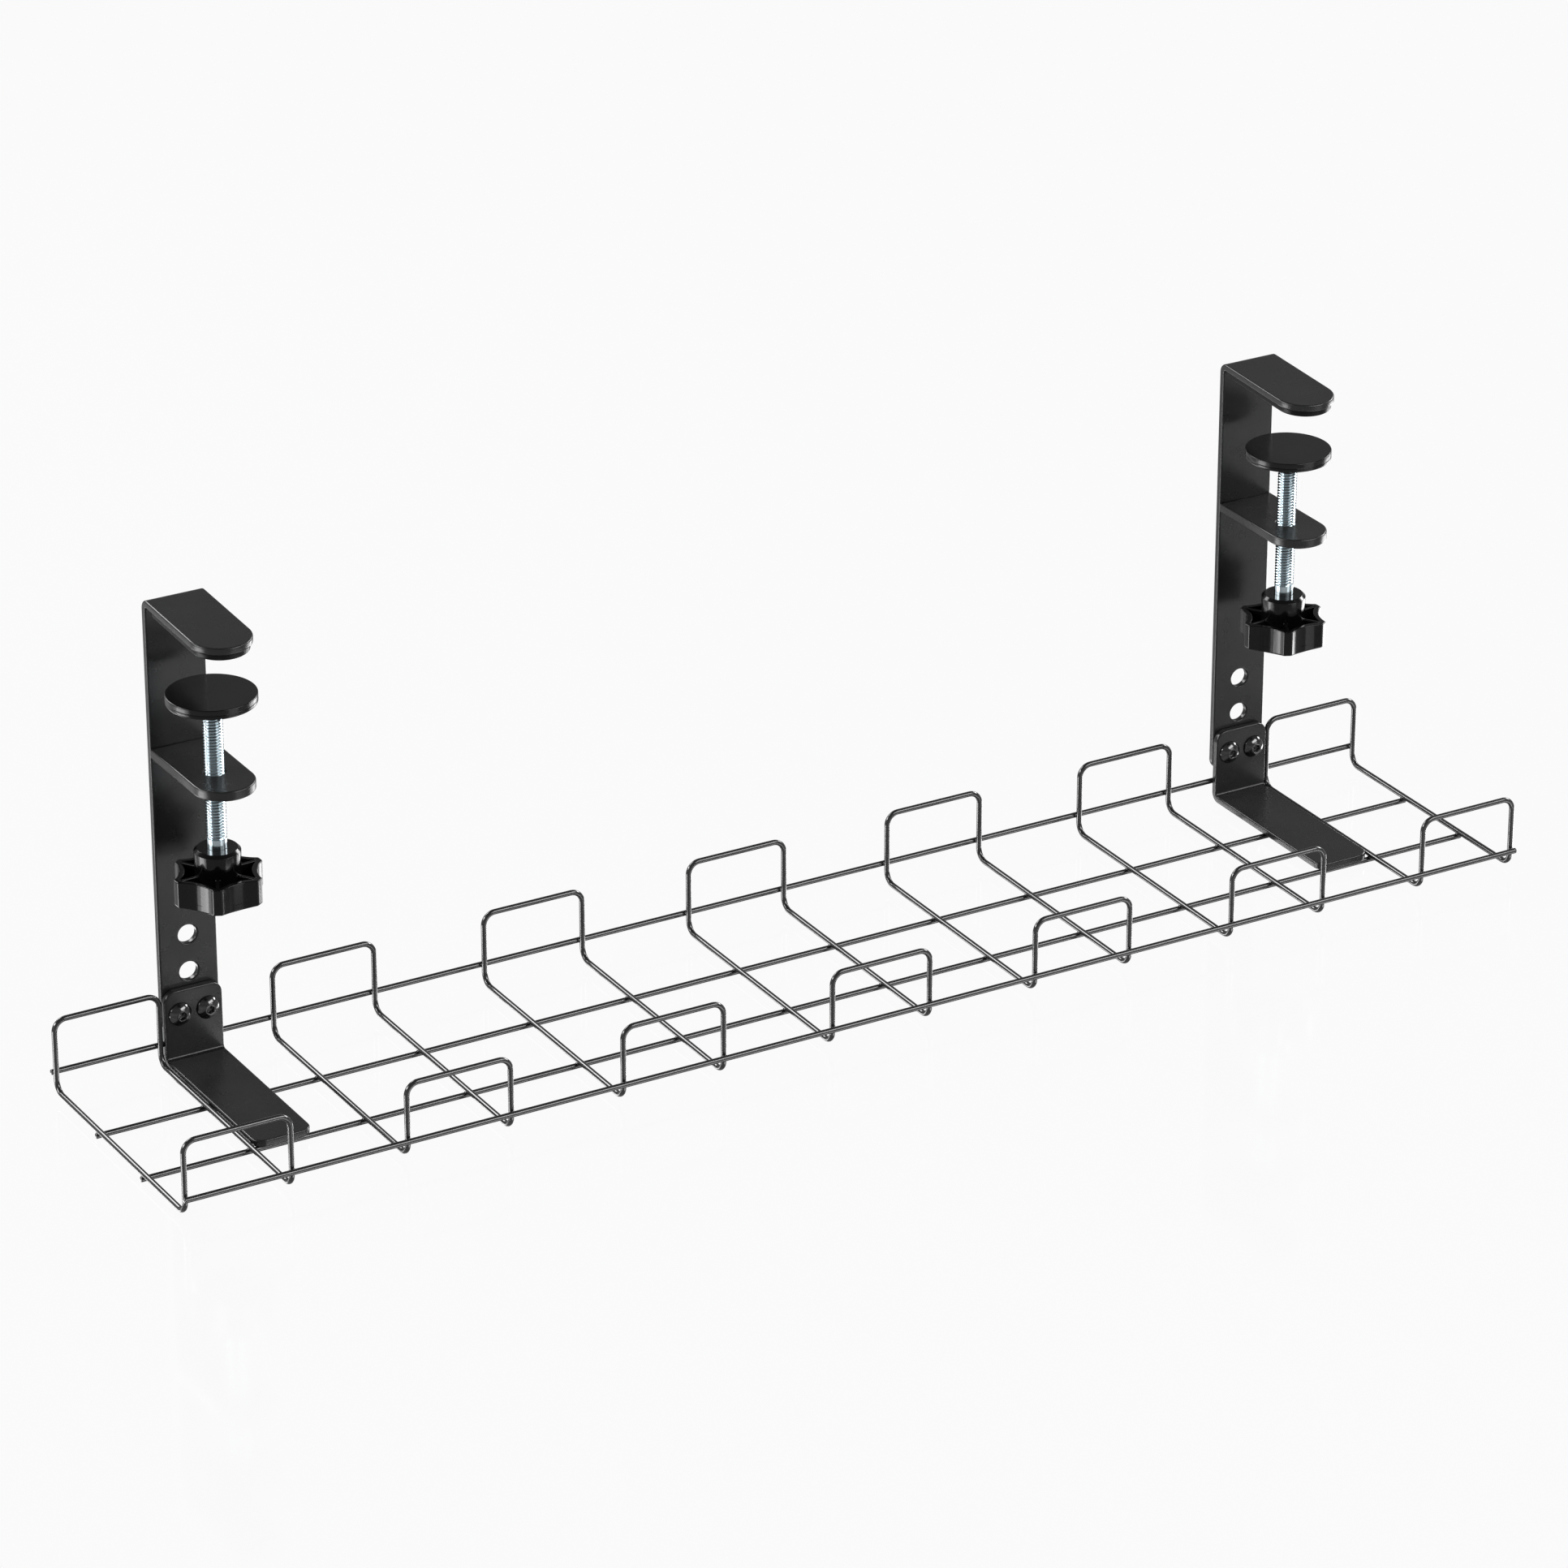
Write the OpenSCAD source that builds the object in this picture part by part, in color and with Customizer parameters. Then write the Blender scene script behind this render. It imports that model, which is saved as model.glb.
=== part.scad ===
// Under-desk cable basket: a tray of welded wire loops hung from two screw clamps.
// Lengths are in millimetres. X runs along the tray, Y to its rear, Z up.

/* [Wire tray] */
// Distance between neighbouring wire loops
loop_pitch = 94; // [86:1:110]
// Distance between the two legs of one loop
leg_spacing = 44.7; // [40:0.1:52]
// Depth of the tray between its front and rear legs
tray_depth = 115.8; // [100:0.1:140]
// Height of the wall bars above the floor legs
wall_h = 30.4; // [24:0.1:50]
// Wire diameter
wire_d = 2.25; // [2:0.05:3]
// Bend radius between a leg and its wall bar
bar_bend_r = 5; // [4:0.1:8]
// Bend radius between a wall leg and a floor leg
floor_bend_r = 5; // [4:0.1:8]
// Height of the rear side wire above the floor legs
rear_wire_h = 7.3; // [7:0.1:9]
// Height of the front side wire above the floor legs
front_wire_h = 6.85; // [6.5:0.05:20]
// Distance of the rear floor wire behind the middle of the tray
rear_floor_y = 19.6; // [12:0.1:26]
// Distance of the front floor wire before the middle of the tray
front_floor_y = 21.05; // [14:0.05:28]

/* [Clamp plates] */
// Width of the flat steel strip of the clamps
plate_w = 25; // [22:0.1:32]
// Thickness of the hanger and of the tray bracket
plate_t = 3; // [2.4:0.1:4]
// Inner bend radius of the plates
plate_bend_r = 1.2; // [0.8:0.1:2]
// Corner radius of the plates
plate_corner_r = 5; // [2:0.1:8]
// Height of the hanger above the underside of its tray bracket
hanger_h = 198.6; // [170:0.1:240]
// Reach of the hanger's top plate before the strip
top_reach = 52.6; // [46:0.1:64]
// Angle by which the top plate droops to the front
top_droop = 2.4; // [0:0.1:3]
// Clear height between the top plate and the shelf
jaw_h = 59.3; // [54:0.1:70]
// Thickness of the shelf that carries the clamp screw
shelf_t = 4; // [3:0.1:6]
// Reach of the shelf before the strip
shelf_reach = 50.9; // [46:0.1:60]
// Height of the ear of the tray bracket
ear_h = 32.2; // [29:0.1:40]
// Height of the two tray screws above the underside of the bracket
tray_screw_h = 22; // [20:0.1:23]
// Distance between the two tray screws
tray_screw_gap = 12; // [10:0.1:13]
// Distance between a plain hole of the strip and the next one, or the screws
hole_pitch = 16; // [12:0.1:24]
// Diameter of the plain holes in the strip
hole_d = 8; // [5:0.1:10]

/* [Clamp screw] */
// Distance of the clamp screw before the strip
screw_reach = 30.6; // [28:0.1:34]
// Thread diameter of the clamp screw
rod_d = 8; // [6:0.1:10]
// Height of the disc's face above the shelf, where the screw now stands
disc_lift = 33.1; // [20:0.1:48]
// Diameter of the clamp disc
disc_d = 35.6; // [28:0.1:44]
// Length of the screw that shows between the disc's boss and the knob
rod_free = 55.3; // [50:0.1:80]
// Diameter of the knob over its lobe tips
knob_d = 37.4; // [34:0.1:44]
// Height of the knob's lobed rim
knob_h = 10.7; // [8:0.1:16]
// Diameter of the knob's hub at its top
hub_d = 18.4; // [15:0.1:20]
// Height by which the hub stands above the rim
hub_rise = 9.9; // [6:0.1:14]

/* [Pads] */
// Thickness of the pad under the top plate
jaw_pad_t = 2.5; // [1:0.1:4]
// Thickness of the pad on the clamp disc
disc_pad_t = 2.2; // [1:0.1:3]

/* [Hidden] */
$fn = 64;

LOOP_COUNT = 7;
COSINE_STEPS = 1000000;
SIDES = ["left", "right"];
TRAY_SCREWS = [1, 2];
SIDE_NODES = [
    "hanger", "clamp_shelf", "jaw_pad", "tray_bracket",
    "clamp_disc", "disc_pad", "clamp_screw", "star_knob"
];

// Overrun by which cutting shapes pass the faces they cut
over = 1;
// Depth by which welded wires sink into each other
weld_sink = 0.05;
// Length by which the long wires stand past the end loops
wire_proud = 0.2;
// Gap between a wall leg and the bracket beside it
leg_gap = 0.45;
// Length of the bracket's foot past the front floor wire
foot_overhang = 2.05;
// Length of the strip below the tray screws
strip_tail = 8.65;
// Number of plain holes in each strip
hole_count = 2;

// Tray screw with a button head
tray_screw_d = 5;
tray_screw_play = 0.25;
tap_play = 0.02;
head_d = 9.3;
head_h = 2.7;
head_rim_h = 0.5;
head_flat_d = 4.4;
socket_across = 3;
socket_depth = 1.7;
screw_tip = 0.8;

// Jaw pad, inset from the edges of the top plate
pad_inset = 1;
pad_setback = 3.95;

// Clamp disc and its boss
disc_t = 1.65;
boss_d = 9.9;
boss_h = 5.8;
tip_play = 0.1;
rod_play = 0.05;

// Clamp screw: smooth neck above the knob and stem inside it
neck_d = 7.8;
neck_h = 4.3;
stem_h = 16;

// Star knob
lobe_count = 6;
lobe_turn = 3.5;
lobe_tip_w = 3.4;
valley_depth = 3.7;
rim_wall = 2.2;
rib_t = 1.3;
knob_floor = 2;
hub_taper = 0.4;
hub_chamfer = 0.8;

wire_r = wire_d / 2;
half_w = plate_w / 2;
floor_wire_z = wire_r;
loop_z = floor_wire_z + wire_d - weld_sink;
wall_z = loop_z + wall_h;
foot_z = wire_d - weld_sink;
side_wire_off = tray_depth / 2 + wire_d - weld_sink;
strip_y = tray_depth / 2 + wire_r;
end_loop_x = loop_pitch * (LOOP_COUNT - 1) / 2;
long_wire_l = 2 * end_loop_x + leg_spacing + wire_d + 2 * wire_proud;
clamp_x = end_loop_x - leg_spacing / 2 - wire_r - leg_gap - half_w;

hanger_top_z = foot_z + hanger_h;
shelf_top_z = hanger_top_z - plate_t - jaw_h;
screw_row_z = foot_z + tray_screw_h;
strip_z = screw_row_z - strip_tail;
bend_z = hanger_top_z - plate_t - plate_bend_r;
top_l = top_reach - plate_bend_r;
// The droop with its cosine to six decimals, so that the plate and its bend meet face to face
droop = acos(round(cos(top_droop) * COSINE_STEPS) / COSINE_STEPS);

clamp_y = strip_y - screw_reach;
disc_top_z = shelf_top_z + disc_lift;
disc_z = disc_top_z - disc_pad_t - disc_t;
boss_z = disc_z - boss_h;
hub_top_z = boss_z - rod_free;
rim_top_z = hub_top_z - hub_rise;
knob_z = rim_top_z - knob_h;

// The lobes' flanks are arcs that leave a tip of lobe_tip_w and a valley of valley_depth
tip_r = knob_d / 2;
valley_r = tip_r - valley_depth;
flank_turn = 180 / lobe_count - asin(lobe_tip_w / knob_d);
flank_x = (tip_r ^ 2 - valley_r ^ 2) / (2 * (tip_r * cos(flank_turn) - valley_r));
flank_r = flank_x - valley_r;

// The tray stands with the middle of its outline over the origin
front_edge = side_wire_off + wire_r;
rear_edge = strip_y + plate_t + screw_tip;
mid_y = (rear_edge - front_edge) / 2;

function side_x(side) = side == "left" ? -clamp_x : clamp_x;
function unit(v) = v / norm(v);

module centred() {
    translate([0, -mid_y, 0]) children();
}

// Moves its children to point p, with their X and Y along the unit vectors x and y
module frame_at(p, x, y) {
    z = cross(x, y);
    multmatrix([
        [x[0], y[0], z[0], p[0]],
        [x[1], y[1], z[1], p[1]],
        [x[2], y[2], z[2], p[2]],
        [0, 0, 0, 1]
    ]) children();
}

// Closed wire with square bends of the given radii at the given corners
module bent_wire(corners, radii) {
    n = len(corners);
    for (i = [0 : n - 1]) {
        here = corners[i];
        next = corners[(i + 1) % n];
        into = unit(here - corners[(i + n - 1) % n]);
        away = unit(next - here);
        r = radii[i];
        frame_at(here + r * (away - into), -away, into)
            rotate_extrude(angle = 90) translate([r, 0]) circle(d = wire_d);
        frame_at(here + r * away, into, cross(away, into))
            cylinder(d = wire_d, h = norm(next - here) - r - radii[(i + 1) % n]);
    }
}

// One loop: two floor legs, four wall legs, and a wall bar at the front and the rear
module wire_loop(index) {
    x = leg_spacing / 2;
    y = tray_depth / 2;
    color("#26282a")
        translate([loop_pitch * (index - 1) - end_loop_x, 0, 0])
            bent_wire(
                [
                    [x, y, loop_z], [x, -y, loop_z], [x, -y, wall_z], [-x, -y, wall_z],
                    [-x, -y, loop_z], [-x, y, loop_z], [-x, y, wall_z], [x, y, wall_z]
                ],
                [
                    floor_bend_r, floor_bend_r, bar_bend_r, bar_bend_r,
                    floor_bend_r, floor_bend_r, bar_bend_r, bar_bend_r
                ]
            );
}

module long_wire(y, z) {
    color("#303234")
        translate([-long_wire_l / 2, y, z])
            rotate([0, 90, 0]) cylinder(d = wire_d, h = long_wire_l);
}

// Outline from y = 0 to y = h, of width w, with corners of radius r at y = h
module rounded_end(w, h, r) {
    translate([-w / 2, 0]) square([w, h - r]);
    translate([-w / 2 + r, 0]) square([w - 2 * r, h]);
    for (s = [-1, 1])
        translate([s * (w / 2 - r), h - r]) circle(r = r);
}

// Outline from y = start to y = reach, of width w, that ends in a half circle
module tongue(w, start, reach) {
    translate([-w / 2, start]) square([w, reach - w / 2 - start]);
    translate([0, reach - w / 2]) circle(d = w);
}

// Bend of a plate about X, from the outward direction from_dir towards to_dir
module plate_bend(centre, from_dir, to_dir, turn) {
    frame_at(centre, from_dir, to_dir)
        rotate_extrude(angle = turn)
            translate([plate_bend_r, -half_w]) square([plate_t, plate_w]);
}

// Cylinder along Y through a plate that stands on the hanger's front face
module cross_hole(x, z, d, y, length) {
    translate([x, y - over, z])
        rotate([-90, 0, 0]) cylinder(d = d, h = length + 2 * over);
}

// Frame of the drooping top plate: Y to the front, Z down, its underside at -plate_bend_r
module in_top_frame() {
    translate([0, strip_y - plate_bend_r, bend_z])
        rotate([droop, 0, 0])
            frame_at([0, 0, 0], [1, 0, 0], [0, -1, 0]) children();
}

// Half a ring in the top plate's frame, cut off level with the end of the upright strip
module hanger_bend() {
    outer_r = plate_bend_r + plate_t;
    difference() {
        in_top_frame() plate_bend([0, 0, 0], [0, 0, -1], [0, -1, 0], 180);
        translate([-half_w - over, strip_y - plate_bend_r - outer_r, bend_z - outer_r - over])
            cube([plate_w + 2 * over, 2 * outer_r + over, outer_r + over]);
    }
}

// Upright strip and drooping top plate, bent from one flat bar
module hanger() {
    color("#2b2d2f")
        difference() {
            union() {
                frame_at([0, strip_y, bend_z], [1, 0, 0], [0, 0, -1])
                    linear_extrude(plate_t)
                        rounded_end(plate_w, bend_z - strip_z, plate_corner_r);
                hanger_bend();
                in_top_frame()
                    translate([0, 0, -plate_bend_r - plate_t])
                        linear_extrude(plate_t) tongue(plate_w, 0, top_l);
            }
            for (i = [1 : hole_count])
                cross_hole(0, screw_row_z + i * hole_pitch, hole_d, strip_y, plate_t);
            for (s = [-1, 1])
                cross_hole(
                    s * tray_screw_gap / 2, screw_row_z, tray_screw_d + tap_play,
                    strip_y, plate_t
                );
        }
}

// Shelf welded to the strip, with the tapped hole of the clamp screw
module clamp_shelf() {
    color("#2b2d2f")
        difference() {
            frame_at([0, strip_y, shelf_top_z], [1, 0, 0], [0, -1, 0])
                linear_extrude(shelf_t) tongue(plate_w, 0, shelf_reach);
            translate([0, clamp_y, shelf_top_z - shelf_t - over])
                cylinder(r = rod_d / 2 + rod_play, h = shelf_t + 2 * over);
        }
}

module jaw_pad() {
    color("#141414")
        in_top_frame()
            translate([0, 0, -plate_bend_r])
                linear_extrude(jaw_pad_t)
                    tongue(plate_w - 2 * pad_inset, pad_setback - plate_bend_r, top_l - pad_inset);
}

// Bent plate that carries the tray: an ear against the strip and a foot on the floor wires
module tray_bracket() {
    foot_l = strip_y - plate_t - plate_bend_r + front_floor_y + foot_overhang;
    color("#2b2d2f")
        difference() {
            union() {
                frame_at(
                    [0, strip_y, foot_z + plate_t + plate_bend_r], [1, 0, 0], [0, 0, 1]
                )
                    linear_extrude(plate_t)
                        rounded_end(plate_w, ear_h - plate_t - plate_bend_r, plate_corner_r);
                plate_bend(
                    [0, strip_y - plate_t - plate_bend_r, foot_z + plate_t + plate_bend_r],
                    [0, 0, -1], [0, 1, 0], 90
                );
                frame_at(
                    [0, strip_y - plate_t - plate_bend_r, foot_z], [-1, 0, 0], [0, -1, 0]
                )
                    linear_extrude(plate_t) rounded_end(plate_w, foot_l, plate_corner_r);
            }
            for (s = [-1, 1])
                cross_hole(
                    s * tray_screw_gap / 2, screw_row_z, tray_screw_d + 2 * tray_screw_play,
                    strip_y - plate_t, plate_t
                );
        }
}

// Button-head screw with a hexagon socket, through the ear and tapped into the strip
module tray_screw(s) {
    head_r = head_d / 2;
    flat_r = head_flat_d / 2;
    dome_z = (head_r ^ 2 + head_rim_h ^ 2 - flat_r ^ 2 - head_h ^ 2) / (2 * (head_rim_h - head_h));
    dome_r = sqrt(head_r ^ 2 + (head_rim_h - dome_z) ^ 2);
    color("#1b1b1c")
        translate([s * tray_screw_gap / 2, strip_y - plate_t, screw_row_z])
            rotate([90, 0, 0])
                difference() {
                    union() {
                        rotate_extrude()
                            intersection() {
                                square([head_r, head_h]);
                                translate([0, dome_z]) circle(r = dome_r);
                            }
                        translate([0, 0, -2 * plate_t - screw_tip])
                            cylinder(d = tray_screw_d, h = 2 * plate_t + screw_tip);
                    }
                    translate([0, 0, head_h - socket_depth])
                        cylinder(d = socket_across / cos(30), h = socket_depth + over, $fn = 6);
                }
}

// Pressed disc with the boss in which the clamp screw turns
module clamp_disc() {
    color("#1d1d1e")
        difference() {
            translate([0, clamp_y, boss_z]) {
                cylinder(d = boss_d, h = boss_h);
                translate([0, 0, boss_h]) cylinder(d = disc_d, h = disc_t);
            }
            translate([0, clamp_y, boss_z - over])
                cylinder(r = rod_d / 2 + rod_play, h = boss_h + over);
        }
}

module disc_pad() {
    color("#141414")
        translate([0, clamp_y, disc_z + disc_t]) cylinder(d = disc_d, h = disc_pad_t);
}

// Threaded rod: its thread ends above a smooth neck, and its stem is moulded into the knob
module clamp_screw() {
    color("#b9c3cc")
        translate([0, clamp_y, 0]) {
            translate([0, 0, hub_top_z - stem_h]) cylinder(d = neck_d, h = stem_h + neck_h);
            translate([0, 0, hub_top_z + neck_h])
                cylinder(d = rod_d, h = disc_z - tip_play - hub_top_z - neck_h);
        }
}

// Lobed outline of the knob, moved inwards by inset
module star(inset) {
    difference() {
        circle(r = tip_r - inset);
        for (i = [0 : lobe_count - 1])
            rotate(lobe_turn + (i + 0.5) * 360 / lobe_count)
                translate([flank_x, 0]) circle(r = flank_r + inset);
    }
}

// Open-topped knob: a lobed wall, six ribs to the lobes and a tapered hub
module star_knob() {
    hub_r = hub_d / 2;
    hub_h = knob_h + hub_rise;
    color("#18181a")
        translate([0, clamp_y, knob_z])
            difference() {
                union() {
                    difference() {
                        linear_extrude(knob_h) star(0);
                        translate([0, 0, knob_floor])
                            linear_extrude(knob_h)
                                difference() {
                                    star(rim_wall);
                                    for (i = [0 : lobe_count - 1])
                                        rotate(lobe_turn + i * 360 / lobe_count)
                                            translate([0, -rib_t / 2]) square([tip_r, rib_t]);
                                }
                    }
                    translate([0, 0, knob_floor / 2])
                        cylinder(
                            r1 = hub_r - hub_taper, r2 = hub_r,
                            h = hub_h - knob_floor / 2 - hub_chamfer
                        );
                    translate([0, 0, hub_h - hub_chamfer])
                        cylinder(r1 = hub_r, r2 = hub_r - hub_chamfer, h = hub_chamfer);
                }
                translate([0, 0, hub_h - stem_h]) cylinder(d = neck_d, h = stem_h + over);
            }
}

for (i = [1 : LOOP_COUNT])
    centred() wire_loop(i);
centred() long_wire(side_wire_off, loop_z + rear_wire_h);  // rear_side_wire
centred() long_wire(rear_floor_y, floor_wire_z);  // rear_floor_wire
centred() long_wire(-front_floor_y, floor_wire_z);  // front_floor_wire
centred() long_wire(-side_wire_off, loop_z + front_wire_h);  // front_side_wire
for (side = SIDES)
    translate([side_x(side), 0, 0]) centred() {
        hanger();
        clamp_shelf();
        jaw_pad();
        tray_bracket();
        clamp_disc();
        disc_pad();
        clamp_screw();
        star_knob();
        for (i = TRAY_SCREWS)
            tray_screw(2 * i - 3);
    }
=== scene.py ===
# Under-desk cable basket on two screw clamps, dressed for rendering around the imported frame.
# Lengths are in millimetres until they reach a mesh, apart from those of the floor and the light.
import math

import bmesh
import bpy
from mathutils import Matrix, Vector
from mathutils.geometry import delaunay_2d_cdt


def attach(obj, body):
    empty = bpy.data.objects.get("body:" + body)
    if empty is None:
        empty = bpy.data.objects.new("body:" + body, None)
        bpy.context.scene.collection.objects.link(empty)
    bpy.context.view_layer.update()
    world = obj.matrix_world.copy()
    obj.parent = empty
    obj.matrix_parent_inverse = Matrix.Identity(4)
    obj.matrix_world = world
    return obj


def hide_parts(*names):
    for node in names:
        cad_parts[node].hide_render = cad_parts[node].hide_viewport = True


MM = 0.001

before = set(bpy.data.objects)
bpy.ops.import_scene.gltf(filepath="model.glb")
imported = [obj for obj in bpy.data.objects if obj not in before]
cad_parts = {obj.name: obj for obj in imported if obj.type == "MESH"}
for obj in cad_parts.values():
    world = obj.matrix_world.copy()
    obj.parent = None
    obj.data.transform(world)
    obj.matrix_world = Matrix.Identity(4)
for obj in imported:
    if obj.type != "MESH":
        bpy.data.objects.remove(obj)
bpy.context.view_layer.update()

# Sizes shared with the CAD source
LOOP_COUNT = 7
LOOP_PITCH = 94.0
LEG_SPACING = 44.7
TRAY_DEPTH = 115.8
WALL_H = 30.4
WIRE_D = 2.25
BAR_BEND_R = 5.0
FLOOR_BEND_R = 5.0
REAR_WIRE_H = 7.3
FRONT_WIRE_H = 6.85
REAR_FLOOR_Y = 19.6
FRONT_FLOOR_Y = 21.05
WELD_SINK = 0.05
WIRE_PROUD = 0.2

PLATE_W = 25.0
PLATE_T = 3.0
PLATE_BEND_R = 1.2
PLATE_CORNER_R = 5.0
HANGER_H = 198.6
TOP_REACH = 52.6
TOP_DROOP = 2.4
JAW_H = 59.3
SHELF_T = 4.0
SHELF_REACH = 50.9
EAR_H = 32.2
TRAY_SCREW_H = 22.0
TRAY_SCREW_GAP = 12.0
TRAY_SCREW_D = 5.0
TRAY_SCREW_PLAY = 0.25
HOLE_PITCH = 16.0
HOLE_D = 8.0
LEG_GAP = 0.45
FOOT_OVERHANG = 2.05
STRIP_TAIL = 8.65

HEAD_D = 9.6
HEAD_H = 2.7
HEAD_RIM_H = 0.5
HEAD_FLAT_D = 4.4
SOCKET_ACROSS = 3.0
SOCKET_DEPTH = 1.7
SCREW_TIP = 0.8

SCREW_REACH = 30.6
ROD_D = 8.0
THREAD_PITCH = 1.25
DISC_LIFT = 33.1
DISC_D = 35.6
DISC_T = 1.65
BOSS_D = 9.9
BOSS_H = 5.8
ROD_FREE = 55.3
NECK_D = 7.8
NECK_H = 4.3
STEM_H = 16.0
KNOB_D = 37.4
KNOB_H = 10.7
HUB_D = 18.4
HUB_RISE = 9.9
LOBE_COUNT = 6
LOBE_TURN = 3.5
LOBE_TIP_W = 3.4
VALLEY_DEPTH = 3.7
RIM_WALL = 2.2
RIB_T = 1.3
KNOB_FLOOR = 2.0
HUB_TAPER = 0.4
HUB_CHAMFER = 1.2

JAW_PAD_T = 2.5
DISC_PAD_T = 2.2
PAD_INSET = 1.0
PAD_SETBACK = 3.95

# Places that follow from the sizes
WIRE_R = WIRE_D / 2
LOOP_Z = WIRE_R + WIRE_D - WELD_SINK
WALL_Z = LOOP_Z + WALL_H
FOOT_Z = WIRE_D - WELD_SINK
SIDE_WIRE_OFF = TRAY_DEPTH / 2 + WIRE_D - WELD_SINK
STRIP_Y = TRAY_DEPTH / 2 + WIRE_R
END_LOOP_X = LOOP_PITCH * (LOOP_COUNT - 1) / 2
LONG_WIRE_L = 2 * END_LOOP_X + LEG_SPACING + WIRE_D + 2 * WIRE_PROUD
CLAMP_X = END_LOOP_X - LEG_SPACING / 2 - WIRE_R - LEG_GAP - PLATE_W / 2
HANGER_TOP_Z = FOOT_Z + HANGER_H
SHELF_TOP_Z = HANGER_TOP_Z - PLATE_T - JAW_H
SCREW_ROW_Z = FOOT_Z + TRAY_SCREW_H
STRIP_Z = SCREW_ROW_Z - STRIP_TAIL
BEND_Z = HANGER_TOP_Z - PLATE_T - PLATE_BEND_R
TOP_L = TOP_REACH - PLATE_BEND_R
CLAMP_Y = STRIP_Y - SCREW_REACH
DISC_TOP_Z = SHELF_TOP_Z + DISC_LIFT
DISC_Z = DISC_TOP_Z - DISC_PAD_T - DISC_T
BOSS_Z = DISC_Z - BOSS_H
HUB_TOP_Z = BOSS_Z - ROD_FREE
RIM_TOP_Z = HUB_TOP_Z - HUB_RISE
KNOB_Z = RIM_TOP_Z - KNOB_H
MID_Y = (STRIP_Y + PLATE_T + SCREW_TIP - SIDE_WIRE_OFF - WIRE_R) / 2

# Sizes of the finish, which only the render shows
PLATE_EDGE_R = 0.65
RUBBER_EDGE_R = 0.5
EDGE_BORDER = 0.25
WELD_SPOT_SIZES = (1.15, 1.15, 0.62)
BEAD_LEG = 2.4
BEAD_END_GAP = 2.5
BEAD_RIPPLES = 15
BEAD_RIPPLE_DEPTH = 0.07
# Angles, in degrees, at which the sockets of the tray screws stand
SOCKET_TURNS = {"left": (12, 21), "right": (3, 40)}
# How far the knob's domed underside reaches below the tips in the valleys
CROWN_DROP = 0.85
KNOB_BASE_EDGE_R = 0.7
KNOB_TOP_EDGE_R = 0.42

# Fineness of the meshes
WIRE_SIDES = 20
BEND_STEPS = 10
PLATE_BEND_STEPS = 12
EDGE_STEPS = 4
LATHE_SEGMENTS = 96
THREAD_SEGMENTS = 40
SCREW_SEGMENTS = 72


def smooth_piece(name, verts, faces, material, body, stands_for=()):
    """Mesh in millimetres, its y from the middle of the tray's legs, that rides on a body."""
    mesh = bpy.data.meshes.new(name)
    mesh.from_pydata([(x * MM, (y - MID_Y) * MM, z * MM) for x, y, z in verts], [], faces)
    made = bmesh.new()
    made.from_mesh(mesh)
    bmesh.ops.remove_doubles(made, verts=made.verts, dist=0.002 * MM)
    bmesh.ops.dissolve_degenerate(made, edges=made.edges, dist=0.001 * MM)
    bmesh.ops.recalc_face_normals(made, faces=made.faces)
    made.to_mesh(mesh)
    made.free()
    mesh.polygons.foreach_set("use_smooth", [True] * len(mesh.polygons))
    piece = bpy.data.objects.new(name, mesh)
    bpy.context.scene.collection.objects.link(piece)
    normals = piece.modifiers.new("normals", "WEIGHTED_NORMAL")
    normals.keep_sharp = True
    mesh.materials.append(material)
    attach(piece, body)
    if stands_for:
        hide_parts(*stands_for)
    return piece


def bridged(rings, closed=False):
    """Quads between rings that are lists of vertex numbers."""
    faces = []
    count = len(rings[0])
    pairs = list(zip(rings, rings[1:]))
    if closed:
        pairs.append((rings[-1], rings[0]))
    for low, high in pairs:
        for i in range(count):
            j = (i + 1) % count
            faces.append((low[i], low[j], high[j], high[i]))
    return faces


class Shell:
    """Vertices and faces of one piece, gathered from several shapes."""

    def __init__(self):
        self.verts = []
        self.faces = []

    def add(self, verts, faces):
        first = len(self.verts)
        self.verts.extend(tuple(v) for v in verts)
        self.faces.extend(tuple(first + i for i in face) for face in faces)

    def moved(self, dx, dy, dz):
        self.verts = [(x + dx, y + dy, z + dz) for x, y, z in self.verts]


def rounded_path(corners, radii, steps):
    """Closed path of points with an arc in place of each corner."""
    count = len(corners)
    path = []
    for i, corner in enumerate(corners):
        here = Vector(corner)
        into = (here - Vector(corners[i - 1])).normalized()
        away = (Vector(corners[(i + 1) % count]) - here).normalized()
        radius = radii[i]
        centre = here + radius * (away - into)
        for k in range(steps + 1):
            turn = math.pi / 2 * k / steps
            path.append(centre - away * radius * math.cos(turn) + into * radius * math.sin(turn))
    return path


def tube(path, radius, sides):
    """Round tube along a closed path, its rings turned as little as they can be."""
    count = len(path)
    tangents = [(path[(i + 1) % count] - path[i - 1]).normalized() for i in range(count)]
    side = tangents[0].orthogonal().normalized()
    sides_at = []
    for i in range(count):
        side = (side - tangents[i] * side.dot(tangents[i])).normalized()
        sides_at.append(side)
    # What the last ring is turned against the first is spread along the tube
    end = (side - tangents[0] * side.dot(tangents[0])).normalized()
    other = tangents[0].cross(sides_at[0])
    twist = -math.atan2(end.dot(other), end.dot(sides_at[0]))
    verts = []
    rings = []
    for i in range(count):
        lean = twist * i / count
        other = tangents[i].cross(sides_at[i])
        ring = []
        for k in range(sides):
            turn = 2 * math.pi * k / sides + lean
            ring.append(len(verts))
            verts.append(
                path[i] + radius * (math.cos(turn) * sides_at[i] + math.sin(turn) * other)
            )
        rings.append(ring)
    return verts, bridged(rings, closed=True)


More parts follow.
